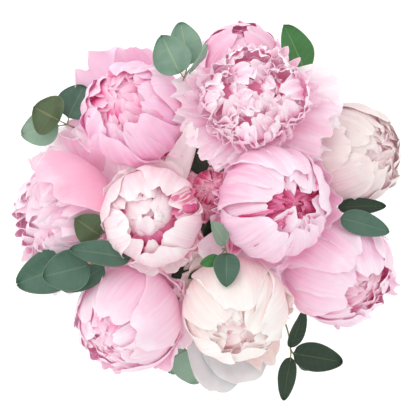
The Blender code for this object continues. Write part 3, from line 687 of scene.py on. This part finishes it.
peonies = {
    "centre_left": {
        "facing": (0.0, -0.06, 1.0), "radius": 0.05, "look": "blush", "seed": 3, "turn": 150,
        "heartLook": "hollow", "coreLook": "hollow", "core": 0.76,
        "clusters": [(0, 0, 0, 1), (-0.07, 0.1, 0.35, 0.55, "blush")],
        "heart": {"Petals": 12, "Reach": (144, 158), "Width": (38, 34)},
        "loose": [petal(-18, 83, 200, 7, "Pale", 0.022, {"Tip Round": 0.5}),
                  petal(-10, -42, 168, 20, "Flamed", 0.06), petal(-62, 50, 160, 34, "Pale", 0.05),
                  petal(-103, 20, 165, 30, "Pale"), petal(-78, -60, 160, 34, "Pale"),
                  petal(-52, -68, 156, 34, "Pale"), petal(-30, -62, 150, 30)]},
    "centre_right": {
        "facing": (0.42, 0.0, 0.9), "radius": 0.056, "look": "lilac", "seed": 11, "turn": 100,
        "heartLook": "hollow",
        "guard": {"Flute": 0.028, "Flute Waves": 4.0, "Reach": (146, 162)},
        "wrap": {"Reach": (158, 168), "Ruffle": 0.05},
        "heart": {"Petals": 22, "Reach": (158, 190), "Width": (34, 30), "Ruffle": 0.1, "Notch": 18.0,
                  "Notch Waves": 8.0},
        "loose": [petal(30, -50, 150, 26, "Flamed", 0.06), petal(55, -74, 140, 26, "Pale"),
                  petal(86, -58, 140, 26), petal(134, 0, 160, 28), petal(122, 34, 165, 28),
                  petal(8, 6, 172, 16, "", 0.07, {"Notch": 12.0})]},
    "upper_left": {
        "facing": (-0.3, 0.28, 0.9), "radius": 0.053, "look": "rose", "seed": 21, "turn": 250,
        "guard": {"Flute": 0.024, "Flute Waves": 4.0},
        "loose": [petal(-132, 150, 118, 27, "Pale", 0.05), petal(-84, 166, 135, 25, "Pale", 0.04),
                  petal(-145, 112, 105, 22, "Pale", 0.05),
                  petal(-45, 46, 150, 34, "Flamed", 0.09, {"Notch": 14.0, "Notch Waves": 8.0}),
                  petal(-18, 108, 160, 28, "", 0.05)]},
    "open": {
        "facing": (-0.05, 0.1, 1.0), "radius": 0.048, "look": "frill", "seed": 31, "turn": 0,
        "heartLook": "frill", "coreLook": "hollow", "core": 0.66,
        "clusters": [(-0.5, -0.02, 0.4, 0.5), (0.06, -0.5, 0.44, 0.46), (0.58, 0.02, 0.36, 0.5),
                     (-0.1, 0.52, 0.34, 0.46), (0.02, 0.04, 0.5, 0.48)],
        "guard": {"Petals": 10, "Size": (1.0, 0.94), "Reach": (96, 108), "Width": (40, 40),
                  "Turn Jitter": 12.0, "Ruffle": 0.06, "Notch": 9.0, "Notch Waves": 12.0, "Flute": 0.035,
                  "Crumple": 0.05, "Flare": 0.1, "Across": 30},
        "wrap": {"Petals": 16, "Size": (0.98, 0.86), "Reach": (98, 148), "Width": (34, 34), "Ruffle": 0.07,
                 "Notch": 9.0, "Notch Waves": 11.0, "Across": 30, "Crumple": 0.06, "Turn Jitter": 40.0,
                 "Reach Jitter": 12.0, "Flute": 0.035, "Scatter": 0.14, "Flare": 0.14},
        "heart": {"Petals": 13, "Size": (1.12, 0.84), "Reach": (106, 186), "Curve": 1.05, "Width": (50, 36),
                  "Ruffle": 0.06, "Notch": 8.0, "Notch Waves": 8.0, "Across": 26, "Along": 24,
                  "Turn Jitter": 60.0, "Reach Jitter": 12.0, "Flute": 0.05, "Scatter": 0.1, "Flare": 0.16,
                  "Start": 30.0},
        "loose": [petal(*own, 0.08, skirt) for own in (
                  (-37, 121, 190, 28, "Pale"), (-32, 98, 192, 26, ""), (-6, 64, 190, 28, ""),
                  (-2, 48, 184, 26, "Pale"), (22, 40, 182, 28, ""), (126, 117, 182, 28, "Pale"),
                  (121, 86, 188, 28, ""), (138, 60, 170, 20, "Pale"), (111, 38, 170, 24, "Pale"),
                  (82, 143, 176, 26, "Pale"), (56, 146, 180, 30, ""), (12, 140, 180, 30, ""),
                  (-22, 134, 180, 26, ""), (104, 124, 176, 26, ""))]},
    "top": {
        "facing": (0.0, 0.78, 0.62), "radius": 0.043, "look": "dusk", "seed": 41, "turn": 60,
        "guard": {"Reach": (164, 176)},
        "loose": [petal(0, 176, 105, 32, "Pale"), petal(70, 176, 100, 32)]},
    "right": {
        "facing": (0.68, 0.05, 0.73), "radius": 0.052, "look": "pearl", "seed": 51, "turn": 170,
        "loose": [petal(128, 100, 150, 30, "", 0.04), petal(100, 70, 150, 30, "", 0.05),
                  petal(199, 34, 108, 24, "Pale", 0.04), petal(112, 18, 130, 28, "", 0.06)]},
    "lower_right": {
        "facing": (0.58, -0.38, 0.72), "radius": 0.056, "look": "lilac", "seed": 61, "turn": 120,
        "guard": {"Flute": 0.034, "Flute Waves": 4.0, "Crumple": 0.05},
        "loose": [petal(86, -46, 158, 28, "", 0.05), petal(78, -90, 130, 28, "Pale", 0.05),
                  petal(184, -33, 122, 17, "Pale", 0.022, {"Flare": 0.1}),
                  petal(200, -86, 92, 17, "Pale", 0.09), petal(152, -124, 85, 20, "", 0.1, {"Notch": 14.0}),
                  petal(124, -10, 140, 28, "", 0.05)]},
    "bottom": {
        "facing": (0.15, -0.5, 0.85), "radius": 0.0535, "look": "cream", "seed": 71, "turn": 90,
        "guard": {"Reach": (150, 168), "Outer Width": 50.0},
        "wrap": {"Reach": (156, 172), "Ruffle": 0.05},
        # The two grey petals hanging under this bloom are white petals greyed as painted shade
        "loose": [petal(4, -190, 112, 19, "Cool", 0.01, {"Notch": 1.5}),
                  petal(36, -182, 108, 26, "Cool", 0.022, {"Notch": 1.5}), petal(58, -168, 115, 22, "", 0.06),
                  petal(2, -44, 178, 8, "Pale", 0.022, {"Tip Round": 0.6}),
                  petal(84, -110, 140, 24, "", 0.05), petal(-30, -80, 140, 26, "", 0.05),
                  petal(-34, -60, 130, 26, "", 0.05)]},
    "lower_left": {
        "facing": (-0.5, -0.45, 0.74), "radius": 0.0545, "look": "shell", "seed": 81, "turn": 30,
        "loose": [petal(-51, -172, 100, 20, "", 0.08), petal(-18, -142, 110, 22, "Pale", 0.08),
                  petal(-110, -168, 100, 24, "", 0.08), petal(-101, -56, 165, 14, "", 0.08, {"Flare": 0.14}),
                  petal(-58, -62, 165, 26, "", 0.022, {"Flare": 0.06}), petal(-140, -80, 115, 26, "", 0.08),
                  petal(-26, -90, 140, 24, "", 0.06), petal(-36, -70, 148, 24, "", 0.06)]},
    "left": {
        "facing": (-0.62, -0.25, 0.74), "radius": 0.051, "look": "shell", "seed": 91, "turn": 10,
        "heartLook": "shell",
        "guard": {"Petals": 5, "Reach": (112, 124), "Ruffle": 0.05, "Notch": 9.0},
        "wrap": {"Reach": (126, 142), "Ruffle": 0.08, "Notch": 11.0, "Notch Waves": 9.0},
        "heart": {"Reach": (138, 186), "Ruffle": 0.09, "Notch": 13.0, "Notch Waves": 9.0, "Flute": 0.05,
                  "Outer Size": 1.0},
        "loose": [{"First Turn": 55.0, "Outer Reach": 124.0, "Curve": 1.38, "Outer Width": 46.0,
                   "Crumple": 0.01, "tint": "Warm"},
                  petal(-136, 88, 118, 20, "Pale", 0.07), petal(-96, 46, 132, 24, "", 0.07),
                  petal(-112, 68, 132, 20, "Pale", 0.07), petal(-184, 56, 100, 22, "Pale", 0.07),
                  petal(-164, -92, 88, 21, "Pale", 0.08, ruffled),
                  petal(-196, -52, 95, 25, "Pale", 0.08, ruffled),
                  petal(-130, -72, 110, 24, "", 0.08, ruffled), petal(-94, -30, 130, 26, "", 0.08, ruffled)]},
    "inner": {
        "facing": (0.05, 0.0, 1.0), "radius": 0.029, "look": "crimson", "seed": 101, "turn": 0,
        "clusters": [(0, 0, 0, 1), (0.12, 0.25, 1.0, 0.76), (-0.1, -0.45, 0.85, 0.55)]},
}
loosePetal = {"Petals": 1, "Turn Jitter": 0.0, "Reach Jitter": 0.0, "Imbricate": 0.0, "Tip Round": 0.2,
              "Start": 6.0}
calyx = {"Size": (1.0, 1.0), "Reach": (46, 36), "Width": (17, 15), "Start": 3.0, "Turn Step": 144.0,
         "Tip Round": 0.55, "Imbricate": 0.0, "Ruffle": 0.01, "Notch": 0.0, "Crumple": 0.01,
         "First Turn": 20.0, "Across": 12, "Along": 14}

# The leaves low on the outer stems: how far each turns away from its stem's bearing, and how far it droops
foliage = {"upper_left": (-9, 0.016), "top": (-9, 0.010), "right": (-9, 0.016), "lower_right": (-9, 0.012),
           "bottom": (-9, 0.018), "left": (9, 0.016)}
foliageShape = {"near": 0.061, "far": 0.138, "rise": 0.012, "width": 0.0200, "stalk": 0.010, "fan": 46}


def bloomCentre(name):
    low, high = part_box("heart_petals_" + name)
    return (Vector(low) + Vector(high)) / 2


def bloomFrame(name, bloom):
    facing = Vector(bloom["facing"]).normalized()
    across = (Vector((1, 0, 0)) - facing * facing.x).normalized()
    turned = Matrix((across, facing.cross(across), facing)).transposed().to_4x4()
    return Matrix.Translation(bloomCentre(name)) @ turned


# The turn, reach and curve of a petal that grows from the bloom's base to this tip
def sweepTo(tip, flare, place, radius):
    local = place.inverted() @ (lip + tip)
    local = local * (1.0 - flare * radius / local.length)
    out, up = math.hypot(local.x, local.y), local.z + radius
    sweep = (out * out + up * up) / (2 * max(up, 0.02))
    reach = math.degrees(math.atan2(out, sweep - up))
    return {"First Turn": math.degrees(math.atan2(local.y, local.x)), "Outer Reach": reach,
            "Curve": sweep / radius}


def merged(*layers):  # the last layer wins
    made = {}
    for label, value in (item for layer in layers for item in layer.items()):
        if isinstance(value, tuple):
            made["Outer " + label], made["Inner " + label] = map(float, value)
        else:
            made[label] = value
    return made


def petalMesh(ball, layer, material, seed, thickness=petalFinish["thickness"]):
    settings = merged(petalSettings, layer, {"Ball": ball, "Seed": seed})
    return grow("petals", petalTree, settings, material, thickness=thickness)


def ballMesh(name, radius, flat, material):
    bm = bmesh.new()
    bmesh.ops.create_uvsphere(bm, u_segments=24, v_segments=14, radius=radius)
    bmesh.ops.scale(bm, vec=(1, 1, flat), verts=bm.verts)
    return frozen(bm, name, material)


# One layer as a piece: guard petals with the loose ones, wrapping petals, or the heart
def makePetals(name, bloom, kind, layer):
    place, radius, seed = bloomFrame(name, bloom), bloom["radius"], bloom["seed"]
    look, balls = bloom["look"], [(0, 0, 0, 1)]
    if kind == "heart":
        look, balls = bloom.get("heartLook", look + "Heart"), bloom.get("clusters", balls)
    layer = merged(layer, bloom.get(kind, {}))
    layer["First Turn"] = layer.get("First Turn", 0.0) + bloom["turn"]
    parts = []
    for i, (x, y, z, size, *own) in enumerate(balls):
        spot = place @ Matrix.Translation(Vector((x, y, z)) * radius)
        outside, inside = own * 2 if own else (look, bloom.get("coreLook", look))
        shape = merged(layer, innerBall) if own else layer
        parts.append((petalMesh(radius * size, shape, looks[outside], seed + len(kind) + i), spot))
        # A core ball fills the heart's middle and shows through its gaps in its look's base colour; with the
        # deep crimson look that colour is partly painted shade of the hollows
        if kind == "heart":
            core = radius * size * bloom.get("core", bouquet["core"])
            parts.append((ballMesh("core", core, 1.0, looks[inside]), spot))
    for i, own in enumerate(bloom.get("loose", []) if kind == "guard" else []):
        swept = sweepTo(own["tip"], own.get("Flare", 0.0), place, radius) if "tip" in own else {}
        shape = merged(ballGuards, loosePetal, own, swept)
        parts.append((petalMesh(radius, shape, looks[look + own["tint"]], seed + 200 + i), place))
    assemble(camel(kind, "petals", name), parts, [f"{kind}_petals_{name}"])


# A stem climbs from the vase, through the neck, and arrives square to its bloom with the calyx
def makeStem(name, bloom, bearing):
    place, radius = bloomFrame(name, bloom), bloom["radius"]
    top = -radius - 0.0012
    low, high = lowerStem(bearing, bouquet["stem"])
    end = place @ Vector((0, 0, top))
    arrive = place.to_3x3() @ Vector((0, 0, 1))
    span = (end - high).length
    path = [low.lerp(high, i / 8) for i in range(8)] + [high]
    path += bezier(high, high + (high - low).normalized() * span * 0.35, end - arrive * span * 0.40, end, 22)
    parts = [stalkMesh("stalk", path, {"Radius": bouquet["stem"] / 2, "Tip Share": 0.86}, greens["stalk"])]
    cup = ballMesh("receptacle", radius * 0.17, 0.42, greens["calyx"])
    parts.append((cup, place @ Matrix.Translation((0, 0, top))))
    parts.append((petalMesh(radius + 0.0022, calyx, greens["calyx"], bloom["seed"], 0.0006), place))
    if name in foliage:
        turn, droop = foliage[name]
        parts += foliageLeaf(path[12], bearing + math.radians(turn), droop, bloom["seed"])
    assemble(camel("stem", name), parts, ["stem_" + name])


def foliageLeaf(node, angle, droop, seed):
    shape = foliageShape
    out = Vector((math.cos(angle), math.sin(angle), 0))
    joint = out * shape["near"] + lip + Vector((0, 0, shape["rise"]))
    arch = Vector((0, 0, shape["rise"] * 0.3))
    blade = {"Width": shape["width"], "Point": 0.78, "Fullness": 0.9, "Cup": 0.12, "Bow": 0.08, "Wave": 0.03,
             "Rib": 0.0009}
    stalk = throughPoints([node, node.lerp(joint, 0.5) + arch, joint], 6)
    thick, thin = {"Radius": 0.00115, "Knots": 0.0, "Sides": 10}, {"Radius": 0.0008, "Knots": 0.0, "Sides": 8}
    parts = [stalkMesh("leafStalk", stalk, thick, greens["stalk"])]
    for i, (turn, share) in enumerate(((-shape["fan"], 0.78), (0, 1.0), (shape["fan"], 0.78))):
        way = Matrix.Rotation(math.radians(turn), 3, "Z") @ out
        base = joint + way * shape["stalk"]
        tip = joint + way * (shape["far"] - shape["near"]) * share - Vector((0, 0, droop))
        stalk = throughPoints([joint, joint.lerp(base, 0.6), base.lerp(tip, 0.08)], 3)
        blade["Seed"] = seed + i
        parts.append(stalkMesh("leafletStalk", stalk, thin, greens["stalk"]))
        parts.append(leafMesh("leaflet", base, tip, (0, 0, 1), blade, greens["foliage"]))
    return parts


# Eucalyptus and other greenery, in mm from the middle of the vase's lip: the points that a twig follows
# above the neck, then its leaves, each with the way its face looks and the twig's point that it grows at
def leaf(base, tip, width, face, green="silver", at=2):
    return {"base": base, "tip": tip, "width": width / 1000, "face": face, "green": green, "at": at}


sprigs = {
    "top_left": {"route": [(-20, 62, 55), (-26, 118, 120), (-24, 131, 180)], "leaves": [
        leaf((-28, 135, 187), (-46, 172, 196), 39, (-0.1, -0.2, 1)),
        leaf((-20, 143, 180), (-28, 187, 172), 34, (0.2, 0.2, 1)),
        leaf((-20, 136, 190), (-3, 163, 204), 30, (0.8, -0.6, 0.1)),
        leaf((-22, 90, 118), (-6, 34, 124), 40, (0, 0, 1), "deep", 1)]},
    "top_right": {"route": [(50, 54, 45), (94, 114, 80), (89, 147, 120)], "leaves": [
        leaf((100, 141, 126), (77, 188, 144), 36, (0.35, 0.1, 1), "fresh")]},
    "left_upper": {"route": [(-70, 48, 45), (-120, 75, 82), (-149, 88, 114)], "leaves": [
        leaf((-155, 91, 119), (-181, 105, 126), 45, (-0.25, 0.1, 1), "olive"),
        leaf((-156, 86, 110), (-196, 78, 98), 36, (-0.3, 0.0, 1)),
        leaf((-146, 94, 116), (-130, 128, 108), 38, (0.1, 0.1, 1), "dark")]},
    "left_middle": {"route": [(-70, -8, 45), (-97, -30, 95), (-106, -24, 146)], "leaves": [
        leaf((-110, -28, 152), (-135, -10, 167), 34, (-0.1, 0.1, 1), "olive")]},
    "left_lower": {"route": [(-62, -34, 50), (-84, -48, 102), (-96, -52, 146)], "leaves": [
        leaf((-121, -58, 157), (-168, -70, 157), 43, (-0.1, -0.1, 1), "dark"),
        leaf((-78, -51, 168), (-140, -42, 166), 27, (0.1, 0.3, 1), "dark"),
        leaf((-134, -55, 141), (-198, -79, 118), 46, (-0.3, 0.0, 1), "dark"),
        leaf((-106, -60, 148), (-150, -84, 142), 24, (-0.2, -0.4, 1), "dark")]},
    "centre": {"route": [(5, -36, 60), (12, -42, 120), (18, -41, 172)], "leaves": [
        leaf((17, -36, 178), (3, -13, 196), 18, (0.3, 0.2, 1)),
        leaf((19, -46, 178), (18, -79, 194), 27, (0.0, -0.5, 1), "dark"),
        leaf((11, -50, 180), (-8, -56, 184), 13, (0, -0.2, 1), "fresh"),
        leaf((6, -38, 126), (-8, -36, 158), 30, (0.3, -0.3, 1), "deep", 1),
        leaf((2, -48, 118), (-48, -66, 122), 36, (0, 0, 1), "deep", 1),
        leaf((12, -36, 128), (12, -4, 140), 34, (0, 0, 1), "deep", 1)]},
    "bottom_right": {"route": [(56, -78, 40), (82, -122, 75), (88, -153, 90)], "leaves": [
        leaf((90, -154, 91), (143, -164, 82), 31, (0, 0.1, 1), "deep"),
        leaf((88, -158, 90), (81, -205, 78), 20, (-0.3, 0, 1), "deep"),
        leaf((87, -147, 93), (100, -106, 106), 19, (0.5, 0, 0.9), "deep"),
        leaf((93, -160, 85), (112, -170, 72), 20, (0, 0.5, 1), "dark")]},
    "bottom": {"route": [(-16, -70, 40), (-24, -118, 62), (-22, -148, 80)], "leaves": [
        leaf((-21, -151, 81), (-13, -188, 70), 40, (-0.1, -0.2, 1)),
        leaf((-27, -146, 76), (-40, -178, 58), 30, (-0.3, -0.3, 1))]},
    "right": {"route": [(70, -8, 45), (112, -5, 85), (130, -3, 128)], "leaves": [
        leaf((134, 1, 134), (184, 2, 131), 18, (0, 0.1, 1), "deep"),
        leaf((136, -10, 143), (186, -25, 142), 26, (0.1, 0.1, 1), "dark")]},
}
sprigLeaf = {"Point": 0.74, "Fullness": 0.62, "Cup": 0.09, "Bow": 0.06, "Wave": 0.018, "Rib": 0.0005}


def fromLip(place):
    return lip + Vector([length / 1000 for length in place])


def makeSprig(name, sprig, bearing, seed):
    low, high = lowerStem(bearing, bouquet["sprig"])
    stops = [fromLip(place) for place in sprig["route"]]
    path = [low.lerp(high, i / 6) for i in range(6)]
    path += throughPoints([high, high + Vector((0, 0, vase["height"] * 0.10))] + stops, 8)
    twig = {"Radius": bouquet["sprig"] / 2, "Tip Share": 0.45, "Ribs": 4.0, "Knots": 7.0}
    parts = [stalkMesh("twig", path, twig, greens["twig"])]
    for i, spec in enumerate(sprig["leaves"]):
        base, tip, node = fromLip(spec["base"]), fromLip(spec["tip"]), stops[spec["at"]]
        back = (stops[spec["at"] - 1] - node).normalized()
        node = node + back * 0.0013 * (i + 1)
        middle = node.lerp(base, 0.5) + Vector((0, 0, 0.0006))
        petiole = throughPoints([node, middle, base.lerp(tip, 0.10)], 5)
        thin = {"Radius": 0.0008, "Tip Share": 0.6, "Knots": 0.0, "Sides": 8}
        parts.append(stalkMesh("petiole", petiole, thin, greens["twig"]))
        shape = {**sprigLeaf, "Width": spec["width"], "Seed": seed + i}
        parts.append(leafMesh("leaf", base, tip, spec["face"], shape, greens[spec["green"]]))
    assemble(camel("sprig", name), parts, ["sprig_" + name])


# Floor, light and camera
studio = {"floor": 6.0, "sky": 0.85, "softbox": 15.0, "softboxSize": 2.6, "height": 2.0, "lens": 138.46}


def makeStudio():
    bm = bmesh.new()
    bmesh.ops.create_grid(bm, x_segments=1, y_segments=1, size=studio["floor"])
    pale = newMaterial("paleFloor", 0.9, Base_Color=(0.93, 0.93, 0.93, 1), Specular_IOR_Level=0.1,
                       Emission_Color=(1, 1, 1, 1), Emission_Strength=0.35)[0]
    floor = bpy.data.objects.new("floor", frozen(bm, "floor", pale))

    world = bpy.data.worlds.new("studio")
    world.use_nodes = True
    sky = world.node_tree.nodes["Background"].inputs
    sky["Color"].default_value, sky["Strength"].default_value = (1, 1, 1, 1), studio["sky"]
    bpy.context.scene.world = world

    light = bpy.data.lights.new("softbox", "AREA")
    light.energy, light.size = studio["softbox"], studio["softboxSize"]
    lamp = bpy.data.objects.new("softbox", light)
    lamp.location = (-0.9, 0.8, 2.1)
    lamp.rotation_euler = (Vector((0, 0, 0.35)) - lamp.location).to_track_quat("-Z", "Y").to_euler()

    lens = bpy.data.cameras.new("camera")
    lens.lens, lens.sensor_width = studio["lens"], 36.0
    camera = bpy.data.objects.new("camera", lens)
    camera.location = (0, 0, studio["height"])
    for obj in (floor, lamp, camera):
        bpy.context.scene.collection.objects.link(obj)
    bpy.context.scene.camera = camera
    bpy.context.scene.view_settings.view_transform = "Standard"


greens = {
    "silver": greenMaterial("silverLeaf", "6C907C", "8CAA94", "B0C09A", "A2BBA9"),
    "olive": greenMaterial("oliveLeaf", "3E5836", "576E4A", "98966A", "687F62"),
    "dark": greenMaterial("darkLeaf", "31503F", "466A57", "708C70", "5C7C6C"),
    "deep": greenMaterial("deepLeaf", "132315", "223A27", "56683E", "2E4634"),
    "fresh": greenMaterial("freshLeaf", "265C2C", "3E7A3C", "7CA466", "528856"),
    "foliage": greenMaterial("peonyLeaf", "2F5A26", "4C7A38", "8DA860", "55803F", 0.32, 0.06),
    "calyx": greenMaterial("calyxGreen", "6E8F4A", "90A862", "A9B878", "9DB07A"),
    "stalk": stalkMaterial("stemGreen", "4E7032", "7A9650", "8A5A44"),
    "twig": stalkMaterial("twigGreen", "7C7F52", "9A9A6A", "8C6048"),
}
looks = {}
for name, (*shades, heartBase) in petalLooks.items():
    colours = dict(zip(petalShades, shades))
    variants = {"": {}, "Heart": {"Base": heartBase, "Base Reach": 0.86}, "Flamed": {"Flame Share": 1.0},
                # This grey variant turns a white petal grey, as painted shade for petals that hang below a
                # bloom
                "Cool": {"Base": "D2D4D6", "Body": "DFE2E2", "Margin": "ECEEEE"},
                "Warm": {"Body": "F6BFD4", "Margin": "FBDCE6"},
                "Pale": {"Base": colours["Body"], "Body": colours["Margin"], "Flame Share": 0.0}}
    for kind, changes in variants.items():
        title = camel(name, kind.lower() or "petal")
        looks[name + kind] = petalMaterial(title, petalGroup, {**colours, **changes}, petalFinish["glow"])

makeStudio()
makeVase()
print("vase made")
bearings = ringBearings()
for name, bloom in peonies.items():
    for kind, layer in (("guard", ballGuards), ("wrap", ballWraps), ("heart", ballHeart)):
        makePetals(name, bloom, kind, layer)
    makeStem(name, bloom, bearings["stem_" + name])
print("peonies made")
for i, (name, sprig) in enumerate(sprigs.items()):
    makeSprig(name, sprig, bearings["sprig_" + name], 10 * i)
print("greenery made")
